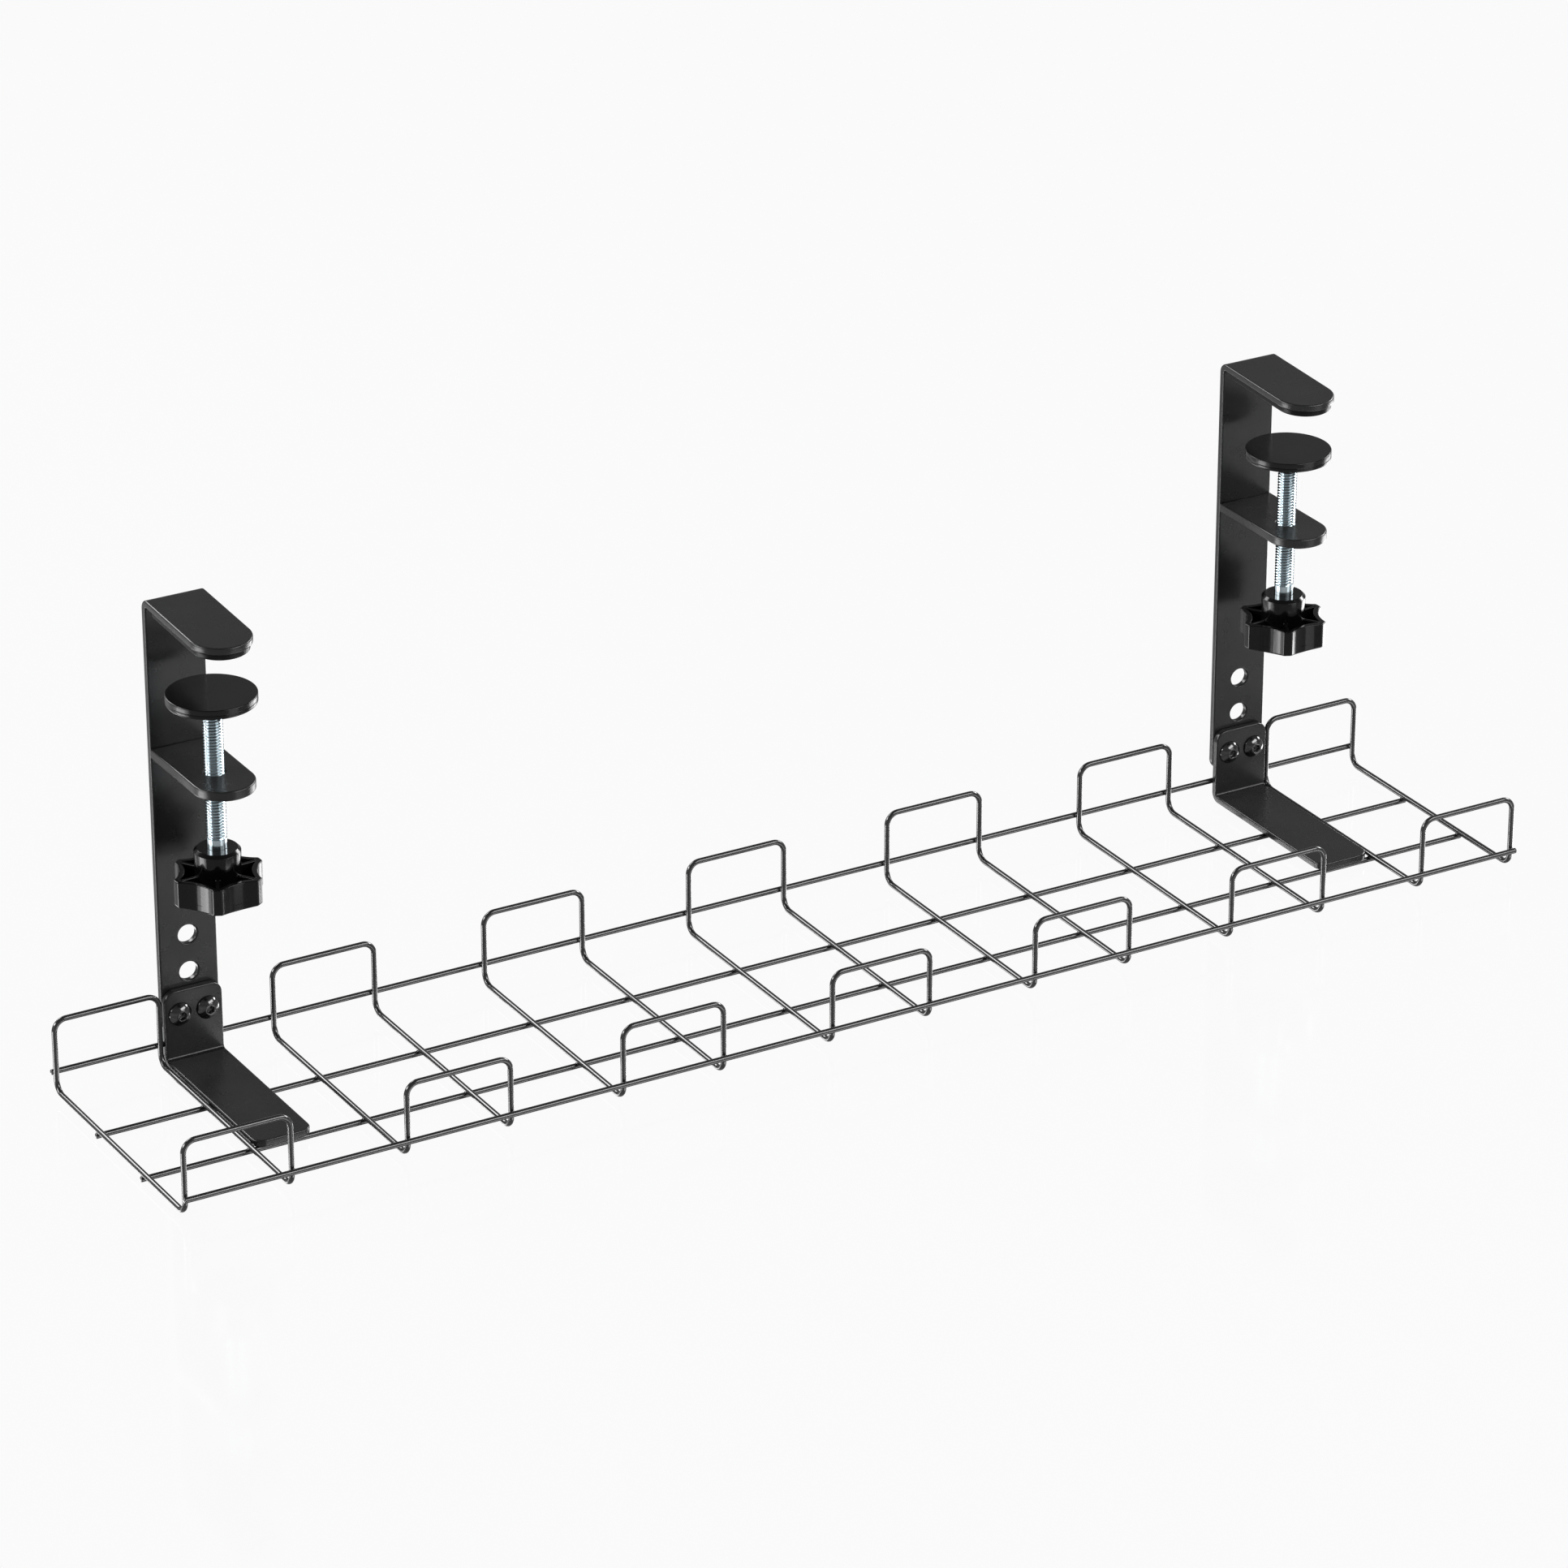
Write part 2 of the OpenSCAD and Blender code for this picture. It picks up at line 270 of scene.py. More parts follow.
def lathe(profile, segments=LATHE_SEGMENTS):
    """Solid of revolution about Z from (radius, z) pairs, with a fan over each end."""
    verts = []
    rings = []
    for radius, z in profile:
        ring = []
        for k in range(segments):
            turn = 2 * math.pi * k / segments
            ring.append(len(verts))
            verts.append((radius * math.cos(turn), radius * math.sin(turn), z))
        rings.append(ring)
    faces = bridged(rings)
    for ring, (radius, z) in ((rings[0], profile[0]), (rings[-1], profile[-1])):
        hub = len(verts)
        verts.append((0.0, 0.0, z))
        faces.extend((ring[k], ring[(k + 1) % segments], hub) for k in range(segments))
    return verts, faces


def arc_points(cx, cy, radius, start, end, steps):
    """Points of an arc, angles in degrees."""
    points = []
    for k in range(steps + 1):
        turn = math.radians(start + (end - start) * k / steps)
        points.append((cx + radius * math.cos(turn), cy + radius * math.sin(turn)))
    return points


def rounded_profile(corners, radii, steps=5):
    """Open (radius, z) profile with an arc at each inner corner that has a radius."""
    points = [corners[0]]
    for before, here, after, radius in zip(corners, corners[1:], corners[2:], radii):
        if radius <= 0:
            points.append(here)
            continue
        into = Vector((here[0] - before[0], here[1] - before[1])).normalized()
        away = Vector((after[0] - here[0], after[1] - here[1])).normalized()
        half = math.acos(max(-1.0, min(1.0, into.dot(away)))) / 2
        cut = radius * math.tan(half)
        start = Vector(here) - into * cut
        finish = Vector(here) + away * cut
        for k in range(steps + 1):
            t = k / steps
            # A quadratic curve is close enough to the arc at this size
            p = start * (1 - t) ** 2 + Vector(here) * 2 * t * (1 - t) + finish * t ** 2
            points.append((p.x, p.y))
    points.append(corners[-1])
    return points


def strip_outline(width, length, start_r, end_r, stations=()):
    """Strip from v = 0 to its length, rounded at both ends: (x, v, normal x, normal v) points."""
    half = width / 2
    outline = []

    def corner(cx, cv, radius, start, steps):
        if radius <= 0:
            mid = math.radians(start + 45)
            sign = (math.copysign(1, math.cos(mid)), math.copysign(1, math.sin(mid)))
            outline.append((cx, cv, sign[0], sign[1]))
            return
        for x, v in arc_points(cx, cv, radius, start, start + 90, steps):
            outline.append((x, v, (x - cx) / radius, (v - cv) / radius))

    steps_start = 12 if start_r < half else 24
    steps_end = 12 if end_r < half else 24
    corner(half - start_r, start_r, start_r, -90, steps_start)
    for v in stations:
        outline.append((half, v, 1.0, 0.0))
    corner(half - end_r, length - end_r, end_r, 0, steps_end)
    if end_r >= half:
        # The two arcs of a half-round end share their middle point
        outline.pop()
    corner(-half + end_r, length - end_r, end_r, 90, steps_end)
    for v in reversed(stations):
        outline.append((-half, v, -1.0, 0.0))
    corner(-half + start_r, start_r, start_r, 180, steps_start)
    return outline


def hole_outline(x, v, radius, segments=40):
    """Round hole: its normals point out of the plate, so towards the middle of the hole."""
    outline = []
    for k in range(segments):
        turn = 2 * math.pi * k / segments
        across, along = math.cos(turn), math.sin(turn)
        outline.append((x + radius * across, v + radius * along, -across, -along))
    return outline


def plate(outer, holes, thickness, edge_r, place, stations=()):
    """Plate with rounded edges, drawn flat and put in its place by place(x, v, height)."""
    # A narrow flat border keeps the shading of the faces even up to their rounded edges
    border = edge_r + EDGE_BORDER
    levels = [(border, 0.0)]
    for k in range(EDGE_STEPS + 1):
        turn = math.pi / 2 * k / EDGE_STEPS
        levels.append((edge_r * (1 - math.sin(turn)), edge_r * (1 - math.cos(turn))))
    for k in range(EDGE_STEPS + 1):
        turn = math.pi / 2 * k / EDGE_STEPS
        levels.append((edge_r * (1 - math.cos(turn)), thickness - edge_r * (1 - math.sin(turn))))
    levels.append((border, thickness))
    verts = []
    faces = []
    loops = []
    low_cap = []
    high_cap = []
    for outline in [outer] + holes:
        rings = []
        for inset, height in levels:
            ring = []
            for x, v, nx, nv in outline:
                ring.append(len(verts))
                verts.append(place(x - nx * inset, v - nv * inset, height))
            rings.append(ring)
        faces.extend(bridged(rings))
        loops.append([Vector((x - nx * border, v - nv * border)) for x, v, nx, nv in outline])
        low_cap.extend(rings[0])
        high_cap.extend(rings[-1])
    across = []
    for v in stations:
        ends = [i for i, point in enumerate(outer) if abs(point[1] - v) < 1e-6]
        across.append((ends[0], ends[-1]))
    for corners in cap_faces(loops, across):
        faces.append([low_cap[i] for i in corners])
        faces.append([high_cap[i] for i in reversed(corners)])
    return verts, faces


def cap_faces(loops, across=()):
    """Triangles inside the first loop and outside the others, as numbers into the joined loops."""
    points = [point for loop in loops for point in loop]
    edges = list(across)
    first = 0
    for loop in loops:
        count = len(loop)
        edges.extend((first + i, first + (i + 1) % count) for i in range(count))
        first += count
    made = delaunay_2d_cdt(points, edges, [], 1, 1e-6)
    source = [olds[0] if olds else -1 for olds in made[3]]
    faces = []
    for face in made[2]:
        mid = sum((made[0][i] for i in face), Vector((0, 0))) / len(face)
        corners = [source[i] for i in face]
        if min(corners) >= 0 and not any(inside(mid, loop) for loop in loops[1:]):
            faces.append(corners)
    return faces


def inside(point, outline):
    """True if the point lies in the closed outline."""
    hit = False
    for i, b in enumerate(outline):
        a = outline[i - 1]
        if (a.y > point.y) != (b.y > point.y):
            if point.x < (b.x - a.x) * (point.y - a.y) / (b.y - a.y) + a.x:
                hit = not hit
    return hit


# Materials
def noise(tree, scale, detail):
    """Noise in object space, where one unit is a metre."""
    made = tree.nodes.new("ShaderNodeTexNoise")
    made.inputs["Scale"].default_value = scale
    made.inputs["Detail"].default_value = detail
    tree.links.new(tree.nodes["Where"].outputs["Object"], made.inputs["Vector"])
    return made.outputs["Fac"]


def remapped(tree, value, low, high):
    """Spreads the middle of a noise over a range."""
    made = tree.nodes.new("ShaderNodeMapRange")
    made.inputs["From Min"].default_value = 0.3
    made.inputs["From Max"].default_value = 0.7
    made.inputs["To Min"].default_value = low
    made.inputs["To Max"].default_value = high
    tree.links.new(value, made.inputs["Value"])
    return made.outputs["Result"]


# Scale and detail of the patches of colour and of roughness, and detail of the grain
PATCHES = (60, 4)
SMEARS = (180, 5)
GRAIN_DETAIL = 2


def finish_material(name, colours, roughness, grain, metallic=0.0, ior=1.5):
    """Procedural finish: patchy colour and roughness, and bumps of (scale, height in mm) pairs."""
    material = bpy.data.materials.new(name)
    material.use_nodes = True
    tree = material.node_tree
    shader = tree.nodes["Principled BSDF"]
    where = tree.nodes.new("ShaderNodeTexCoord")
    where.name = "Where"
    shader.inputs["Metallic"].default_value = metallic
    shader.inputs["IOR"].default_value = ior
    ramp = tree.nodes.new("ShaderNodeValToRGB")
    for stop, position, colour in zip(ramp.color_ramp.elements, (0.32, 0.68), colours):
        stop.position = position
        stop.color = (*colour, 1)
    tree.links.new(noise(tree, *PATCHES), ramp.inputs["Fac"])
    tree.links.new(ramp.outputs["Color"], shader.inputs["Base Color"])
    tree.links.new(
        remapped(tree, noise(tree, *SMEARS), *roughness), shader.inputs["Roughness"]
    )
    normal = None
    for scale, height in grain:
        bump = tree.nodes.new("ShaderNodeBump")
        bump.inputs["Strength"].default_value = 1.0
        bump.inputs["Distance"].default_value = height * MM
        tree.links.new(noise(tree, scale, GRAIN_DETAIL), bump.inputs["Height"])
        if normal:
            tree.links.new(normal, bump.inputs["Normal"])
        normal = bump.outputs["Normal"]
    if normal:
        tree.links.new(normal, shader.inputs["Normal"])
    return material


WIRE_COAT = finish_material(
    "wire coat", ((0.006, 0.0061, 0.0063), (0.009, 0.0091, 0.0093)), (0.19, 0.23), (), ior=1.8,
)
PLATE_COAT = finish_material(
    "plate coat", ((0.011, 0.011, 0.0112), (0.014, 0.014, 0.0142)), (0.24, 0.28),
    ((2600, 0.0004),), ior=1.46,
)
DISC_COAT = finish_material(
    "disc coat", ((0.0025, 0.0025, 0.0025), (0.004, 0.004, 0.004)), (0.15, 0.19),
    ((1800, 0.0005),), ior=1.36,
)
SCREW_BLACK = finish_material(
    "black oxide", ((0.005, 0.005, 0.0052), (0.008, 0.008, 0.0083)), (0.13, 0.17), (), ior=1.85,
)
ZINC = finish_material(
    "zinc plate", ((0.47, 0.56, 0.6), (0.57, 0.65, 0.69)), (0.14, 0.2),
    ((1200, 0.001),), metallic=1.0,
)
KNOB_PLASTIC = finish_material(
    "knob plastic", ((0.0018, 0.0018, 0.0019), (0.003, 0.003, 0.0031)), (0.11, 0.15),
    ((2200, 0.0003),), ior=1.36,
)
PAD_RUBBER = finish_material(
    "pad rubber", ((0.0035, 0.0035, 0.0035), (0.005, 0.005, 0.005)), (0.16, 0.2),
    ((2500, 0.0005),), ior=1.4,
)
JAW_RUBBER = finish_material(
    "jaw rubber", ((0.002, 0.002, 0.002), (0.003, 0.003, 0.003)), (0.3, 0.38),
    ((2500, 0.0012),), ior=1.27,
)


# Wires
def wire_loop(index):
    """Closed loop of two floor legs, four wall legs and two wall bars."""
    x = LEG_SPACING / 2
    y = TRAY_DEPTH / 2
    corners = [
        (x, y, LOOP_Z), (x, -y, LOOP_Z), (x, -y, WALL_Z), (-x, -y, WALL_Z),
        (-x, -y, LOOP_Z), (-x, y, LOOP_Z), (-x, y, WALL_Z), (x, y, WALL_Z),
    ]
    radii = [FLOOR_BEND_R, FLOOR_BEND_R, BAR_BEND_R, BAR_BEND_R] * 2
    verts, faces = tube(rounded_path(corners, radii, BEND_STEPS), WIRE_R, WIRE_SIDES)
    shell = Shell()
    shell.add(verts, faces)
    shell.moved(LOOP_PITCH * index - END_LOOP_X, 0, 0)
    node = f"wire_loop_{index + 1}"
    smooth_piece(
        f"bent_loop_{index + 1}", shell.verts, shell.faces, WIRE_COAT, "basket",
        [node],
    )


def long_wire(node, y, z):
    """Straight wire along X with softened ends."""
    half = LONG_WIRE_L / 2
    edge = 0.3
    end = [(WIRE_R - edge, 0.0), (WIRE_R - edge * 0.3, edge * 0.3), (WIRE_R, edge)]
    profile = [(r, x - half) for r, x in end] + [(r, half - x) for r, x in reversed(end)]
    verts, faces = lathe(profile, 24)
    shell = Shell()
    shell.add([(c, y + a, z + b) for a, b, c in verts], faces)
    smooth_piece(f"{node}_rod", shell.verts, shell.faces, WIRE_COAT, "basket", [node])


def weld_spot(shell, centre, along, across, out, sizes):
    """Flattened bead where two wires are pressed into each other."""
    rows = 6
    segments = 12
    verts = []
    rings = []
    for j in range(rows + 1):
        lift = math.pi * j / rows - math.pi / 2
        ring = []
        for k in range(segments):
            turn = 2 * math.pi * k / segments
            a = sizes[0] * math.cos(lift) * math.cos(turn)
            b = sizes[1] * math.cos(lift) * math.sin(turn)
            c = sizes[2] * math.sin(lift)
            ring.append(len(verts))
            verts.append(centre + along * a + across * b + out * c)
        rings.append(ring)
    shell.add(verts, bridged(rings))


def weld_spots():
    """One bead at each crossing of a loop and a long wire."""
    shell = Shell()
    along, across, up = Vector((1, 0, 0)), Vector((0, 1, 0)), Vector((0, 0, 1))
    for index in range(LOOP_COUNT):
        for s in (-1, 1):
            x = LOOP_PITCH * index - END_LOOP_X + s * LEG_SPACING / 2
            for y in (REAR_FLOOR_Y, -FRONT_FLOOR_Y):
                centre = Vector((x, y, WIRE_D - WELD_SINK / 2))
                weld_spot(shell, centre, along, across, up, WELD_SPOT_SIZES)
            for side, rise in ((1, REAR_WIRE_H), (-1, FRONT_WIRE_H)):
                y = side * (TRAY_DEPTH / 2 + WIRE_R - WELD_SINK / 2)
                centre = Vector((x, y, LOOP_Z + rise))
                weld_spot(shell, centre, along, up, across, WELD_SPOT_SIZES)
    smooth_piece("weld_spots", shell.verts, shell.faces, WIRE_COAT, "basket", ())


# Clamp plates
DROOP = math.radians(90 + TOP_DROOP)


def bend_stations(start, length):
    """Lines across a flat bar at which its bend is cut."""
    return [start + length * k / PLATE_BEND_STEPS for k in range(PLATE_BEND_STEPS + 1)]


def hanger_place(side_x):
    """Flat bar to hanger: up the strip, round the bend and out along the top plate."""
    straight = BEND_Z - STRIP_Z
    bend_l = (PLATE_BEND_R + PLATE_T / 2) * DROOP

    def place(x, v, height):
        if v <= straight:
            return (side_x + x, STRIP_Y + height, STRIP_Z + v)
        turn = min((v - straight) / bend_l, 1.0) * DROOP
        reach = PLATE_BEND_R + height
        y = STRIP_Y - PLATE_BEND_R + reach * math.cos(turn)
        z = BEND_Z + reach * math.sin(turn)
        past = max(v - straight - bend_l, 0.0)
        return (side_x + x, y - past * math.sin(turn), z + past * math.cos(turn))

    return place, straight, bend_l


def hanger(side, side_x):
    """Strip and top plate in one, with the two open holes and the two tapped ones."""
    place, straight, bend_l = hanger_place(side_x)
    stations = bend_stations(straight, bend_l)
    outer = strip_outline(
        PLATE_W, straight + bend_l + TOP_L, PLATE_CORNER_R, PLATE_W / 2, stations
    )
    holes = [
        hole_outline(0, SCREW_ROW_Z + HOLE_PITCH * k - STRIP_Z, HOLE_D / 2) for k in (1, 2)
    ]
    holes += [
        hole_outline(s * TRAY_SCREW_GAP / 2, SCREW_ROW_Z - STRIP_Z, TRAY_SCREW_D / 2 + 0.02)
        for s in (-1, 1)
    ]
    verts, faces = plate(outer, holes, PLATE_T, PLATE_EDGE_R, place, stations)
    smooth_piece(
        f"bent_bar_{side}", verts, faces, PLATE_COAT, "basket", [f"hanger_{side}"]
    )


def clamp_shelf(side, side_x):
    """Plate with a half-round end and the clamp screw's hole, and its weld."""
    outer = strip_outline(PLATE_W, SHELF_REACH, 0, PLATE_W / 2)
    holes = [hole_outline(0, SCREW_REACH, ROD_D / 2 + 0.1, 48)]

    def place(x, v, height):
        return (side_x + x, STRIP_Y - v, SHELF_TOP_Z - SHELF_T + height)

    shell = Shell()
    shell.add(*plate(outer, holes, SHELF_T, PLATE_EDGE_R, place))
    shell.add(*weld_bead(side_x))
    smooth_piece(
        f"shelf_plate_{side}", shell.verts, shell.faces, PLATE_COAT, "basket",
        [f"clamp_shelf_{side}"],
    )


def weld_bead(side_x):
    """Rippled fillet weld under the shelf, against the strip."""
    half = PLATE_W / 2 - BEAD_END_GAP
    bottom = SHELF_TOP_Z - SHELF_T
    # The bead's back corner lies inside the steel
    buried = 0.3
    count = 72
    steps = 7
    verts = []
    rings = []
    for i in range(count + 1):
        t = i / count
        x = side_x - half + 2 * half * t
        ripple = 1 + BEAD_RIPPLE_DEPTH * math.sin(2 * math.pi * t * BEAD_RIPPLES)
        taper = min(1.0, 6 * t + 0.3, 6 * (1 - t) + 0.3)
        size = BEAD_LEG * ripple * taper
        ring = []
        for k in range(steps + 1):
            turn = math.pi / 2 * k / steps
            reach = size * (0.9 + 0.1 * math.sin(2 * turn))
            ring.append(len(verts))
            verts.append((x, STRIP_Y - reach * math.cos(turn), bottom - reach * math.sin(turn)))
        ring.append(len(verts))
        verts.append((x, STRIP_Y + buried, bottom + buried))
        rings.append(ring)
    faces = bridged(rings)
    faces.append(rings[0][::-1])
    faces.append(rings[-1])
    return verts, faces


def jaw_pad(side, side_x):
    """Rubber pad that follows the underside of the drooping top plate."""
    place, straight, bend_l = hanger_place(side_x)
    start = straight + bend_l + PAD_SETBACK - PLATE_BEND_R
    length = TOP_L - PAD_INSET - (PAD_SETBACK - PLATE_BEND_R)
    width = PLATE_W - 2 * PAD_INSET
    outer = strip_outline(width, length, 1.0, width / 2)
    verts, faces = plate(
        outer, [], JAW_PAD_T, RUBBER_EDGE_R,
        lambda x, v, height: place(x, start + v, height - JAW_PAD_T),
    )
    smooth_piece(
        f"jaw_rubber_{side}", verts, faces, JAW_RUBBER, "basket", [f"jaw_pad_{side}"]
    )


def tray_bracket(side, side_x):
    """Bent plate: the ear with its two screw holes, and the foot on the floor wires."""
    straight = EAR_H - PLATE_T - PLATE_BEND_R
    bend_l = (PLATE_BEND_R + PLATE_T / 2) * math.pi / 2
    foot_l = STRIP_Y - PLATE_T - PLATE_BEND_R + FRONT_FLOOR_Y + FOOT_OVERHANG
    bend_y = STRIP_Y - PLATE_T - PLATE_BEND_R
    bend_z = FOOT_Z + PLATE_T + PLATE_BEND_R
    stations = bend_stations(straight, bend_l)

    def place(x, v, height):
        reach = PLATE_BEND_R + height
        turn = min(max((v - straight) / bend_l, 0.0), 1.0) * math.pi / 2
        up = max(straight - v, 0.0)
        past = max(v - straight - bend_l, 0.0)
        return (
            side_x + x,
            bend_y + reach * math.cos(turn) - past,
            bend_z - reach * math.sin(turn) + up,
        )

    outer = strip_outline(
        PLATE_W, straight + bend_l + foot_l, PLATE_CORNER_R, PLATE_CORNER_R, stations
    )
    row = FOOT_Z + EAR_H - SCREW_ROW_Z
    holes = [
        hole_outline(s * TRAY_SCREW_GAP / 2, row, TRAY_SCREW_D / 2 + TRAY_SCREW_PLAY)
        for s in (-1, 1)
    ]
    verts, faces = plate(outer, holes, PLATE_T, PLATE_EDGE_R, place, stations)
    smooth_piece(
        f"bent_bracket_{side}", verts, faces, PLATE_COAT, "basket",
        [f"tray_bracket_{side}"],
    )


def tray_screw(side, side_x, number):
    """Button-head screw: dome, flat, hexagon socket and a shank."""
    head_r = HEAD_D / 2
    flat_r = HEAD_FLAT_D / 2
    # Centre and radius of the dome, from its rim to the edge of the flat
    dome_z = head_r ** 2 + HEAD_RIM_H ** 2 - flat_r ** 2 - HEAD_H ** 2
    dome_z /= 2 * (HEAD_RIM_H - HEAD_H)
    dome_r = math.hypot(head_r, HEAD_RIM_H - dome_z)
    segments = SCREW_SEGMENTS
    shank_r = TRAY_SCREW_D / 2
    tip_z = -2 * PLATE_T - SCREW_TIP
    profile = [(shank_r - 0.5, tip_z), (shank_r, tip_z + 0.5)]
    profile += [(shank_r, 0.0), (head_r - 0.15, 0.0), (head_r, 0.15)]
    steps = 14
    for k in range(steps + 1):
        radius = head_r + (flat_r - head_r) * k / steps
        profile.append((radius, dome_z + math.sqrt(dome_r ** 2 - radius ** 2)))
    verts = []
    rings = []
    for radius, z in profile:
        rings.append(ring_at(verts, [radius] * segments, z))
    hexagon = []
    for k in range(segments):
        part = (2 * math.pi * k / segments) % (math.pi / 3) - math.pi / 6
        hexagon.append(SOCKET_ACROSS / 2 / math.cos(part))
    # Socket: rounded mouth, straight walls and the drill's cone at the bottom
    socket_z = HEAD_H - SOCKET_DEPTH
    rings.append(ring_at(verts, [r + 0.16 for r in hexagon], HEAD_H))
    rings.append(ring_at(verts, [r + 0.05 for r in hexagon], HEAD_H - 0.05))
    rings.append(ring_at(verts, hexagon, HEAD_H - 0.16))
    rings.append(ring_at(verts, hexagon, socket_z))
    rings.append(ring_at(verts, [SOCKET_ACROSS * 0.42] * segments, socket_z - 0.05))
    faces = bridged(rings)
    tip = len(verts)
    verts.append((0.0, 0.0, socket_z - 0.5))
    faces.extend((rings[-1][k], rings[-1][(k + 1) % segments], tip) for k in range(segments))
    faces.append(rings[0][::-1])
    turn = math.radians(SOCKET_TURNS[side][number - 1])
    centre_x = side_x + (2 * number - 3) * TRAY_SCREW_GAP / 2
    placed = []
    for a, b, c in verts:
        x = a * math.cos(turn) - b * math.sin(turn)
        z = a * math.sin(turn) + b * math.cos(turn)
        placed.append((centre_x + x, STRIP_Y - PLATE_T - c, SCREW_ROW_Z + z))
    smooth_piece(
        f"button_screw_{side}_{number}", placed, faces, SCREW_BLACK, "basket",
        [f"tray_screw_{side}_{number}"],
    )


def ring_at(verts, radii, z):
    """Adds a ring with its own radius for each direction, and returns its vertex numbers."""
    ring = []
    for k, radius in enumerate(radii):
        turn = 2 * math.pi * k / len(radii)
        ring.append(len(verts))
        verts.append((radius * math.cos(turn), radius * math.sin(turn), z))
    return ring


# Clamp screw, disc and knob
def clamp_disc(side, side_x):
    """Pressed disc with its boss, and the rubber pad on it."""
    radius = DISC_D / 2
    disc = rounded_profile(
        [
            (BOSS_D / 2 - 1.2, 0), (BOSS_D / 2, 0), (BOSS_D / 2, BOSS_H),
            (radius, BOSS_H), (radius, BOSS_H + DISC_T), (0.01, BOSS_H + DISC_T),
        ],
        [0.5, 0.7, 0.75, 0.28],
    )
    shell = Shell()
    shell.add(*lathe(disc))
    shell.moved(side_x, CLAMP_Y, BOSS_Z)
    smooth_piece(
        f"pressed_disc_{side}", shell.verts, shell.faces, DISC_COAT, f"disc_{side}",
        [f"clamp_disc_{side}"],
    )
    pad = rounded_profile(
        [(0.01, 0), (radius, 0), (radius, DISC_PAD_T), (0.01, DISC_PAD_T)], [0.28, 0.45]
    )
    shell = Shell()
    shell.add(*lathe(pad))
    shell.moved(side_x, CLAMP_Y, DISC_Z + DISC_T)
    smooth_piece(
        f"disc_rubber_{side}", shell.verts, shell.faces, PAD_RUBBER, f"disc_{side}",
        [f"disc_pad_{side}"],
    )


def clamp_screw(side, side_x):
    """Smooth neck and a true helical thread of the M8 form."""
    shell = Shell()
    neck_r = NECK_D / 2
    neck_low = HUB_TOP_Z - STEM_H
    neck_top = HUB_TOP_Z + NECK_H
    neck = rounded_profile(
        [(0.01, neck_low), (neck_r, neck_low), (neck_r, neck_top), (0.01, neck_top)], [0.3, 0.12]
    )
    shell.add(*lathe(neck, 64))
    segments = THREAD_SEGMENTS
    pitch = THREAD_PITCH
    crest_r = ROD_D / 2
    # Depth of the standard thread form, as a share of the pitch
    root_r = crest_r - 0.6134 * pitch
    thread = [
        (-0.07 * pitch, crest_r - 0.02), (0.0, crest_r), (0.07 * pitch, crest_r - 0.02),
        (0.37 * pitch, root_r + 0.05), (0.5 * pitch, root_r), (0.63 * pitch, root_r + 0.05),
    ]
    start = neck_top - 1.3
    end = DISC_Z - 0.4
    turns = int((end - start) / pitch) - 1
    total = turns * segments
    verts = []
    for i in range(total + segments + 1):
        turn = 2 * math.pi * i / segments
        rise = pitch * i / segments
        # The thread grows out of the neck over its first turn
        grown = min(1.0, rise / pitch)
        for z, radius in thread:
            r = (neck_r - 0.9) * (1 - grown) + radius * grown
            verts.append((r * math.cos(turn), r * math.sin(turn), start + rise + z))
    n = len(thread)
    faces = []
    for i in range(total):
        for k in range(n):
            if k < n - 1:
                a, b = i * n + k, i * n + k + 1
                c, d = (i + 1) * n + k + 1, (i + 1) * n + k
            else:
                a, b = i * n + k, (i + segments) * n
                c, d = (i + 1 + segments) * n, (i + 1) * n + k
            faces.append((a, d, c, b))
    shell.add(verts, faces)
    shell.moved(side_x, CLAMP_Y, 0)
    smooth_piece(
        f"threaded_rod_{side}", shell.verts, shell.faces, ZINC, f"screw_{side}",
        [f"clamp_screw_{side}"],
    )


TIP_R = KNOB_D / 2
# Half the angles, in degrees, of a tip and of a flank between two tips
TIP_HALF = math.degrees(math.asin(LOBE_TIP_W / KNOB_D))
FLANK_HALF = 180 / LOBE_COUNT - TIP_HALF


def flank_points(valley, inset, steps):
    """Concave flank between two tips, or the same moved inwards by inset, and its half angle."""
    half = TIP_R * math.sin(math.radians(FLANK_HALF))
    hollow = TIP_R * math.cos(math.radians(FLANK_HALF)) - (TIP_R - VALLEY_DEPTH)
    radius = (half ** 2 + hollow ** 2) / (2 * hollow)
    centre = TIP_R - VALLEY_DEPTH + radius
    tip = TIP_R - inset
    reach = radius + inset
    # Where the flank meets the tip circle
    meet = math.acos((tip ** 2 + centre ** 2 - reach ** 2) / (2 * tip * centre))
    lean = math.asin(tip * math.sin(meet) / reach)
    a = math.radians(valley)
    points = []
    for k in range(steps + 1):
        turn = -lean + 2 * lean * k / steps
        x = centre - reach * math.cos(turn)
        y = reach * math.sin(turn)
        points.append((x * math.cos(a) - y * math.sin(a), x * math.sin(a) + y * math.cos(a)))
    return points, math.degrees(meet)


def joined(segments, cuts, steps=5):
    """Closed outline through the segments, each corner between them rounded by its own cut."""
    count = len(segments)
    short = []
    for i, line in enumerate(segments):
        line = cut_end(line, cuts[i])
        short.append(cut_end(line[::-1], cuts[i - 1])[::-1])
    outline = []
    for i in range(count):
        outline.extend(short[i])
        corner = segments[i][-1]
        a = short[i][-1]
        b = short[(i + 1) % count][0]
        for k in range(1, steps):
            t = k / steps
            outline.append(tuple(
                p * (1 - t) ** 2 + q * 2 * t * (1 - t) + r * t ** 2
                for p, q, r in zip(a, corner, b)
            ))
    return outline


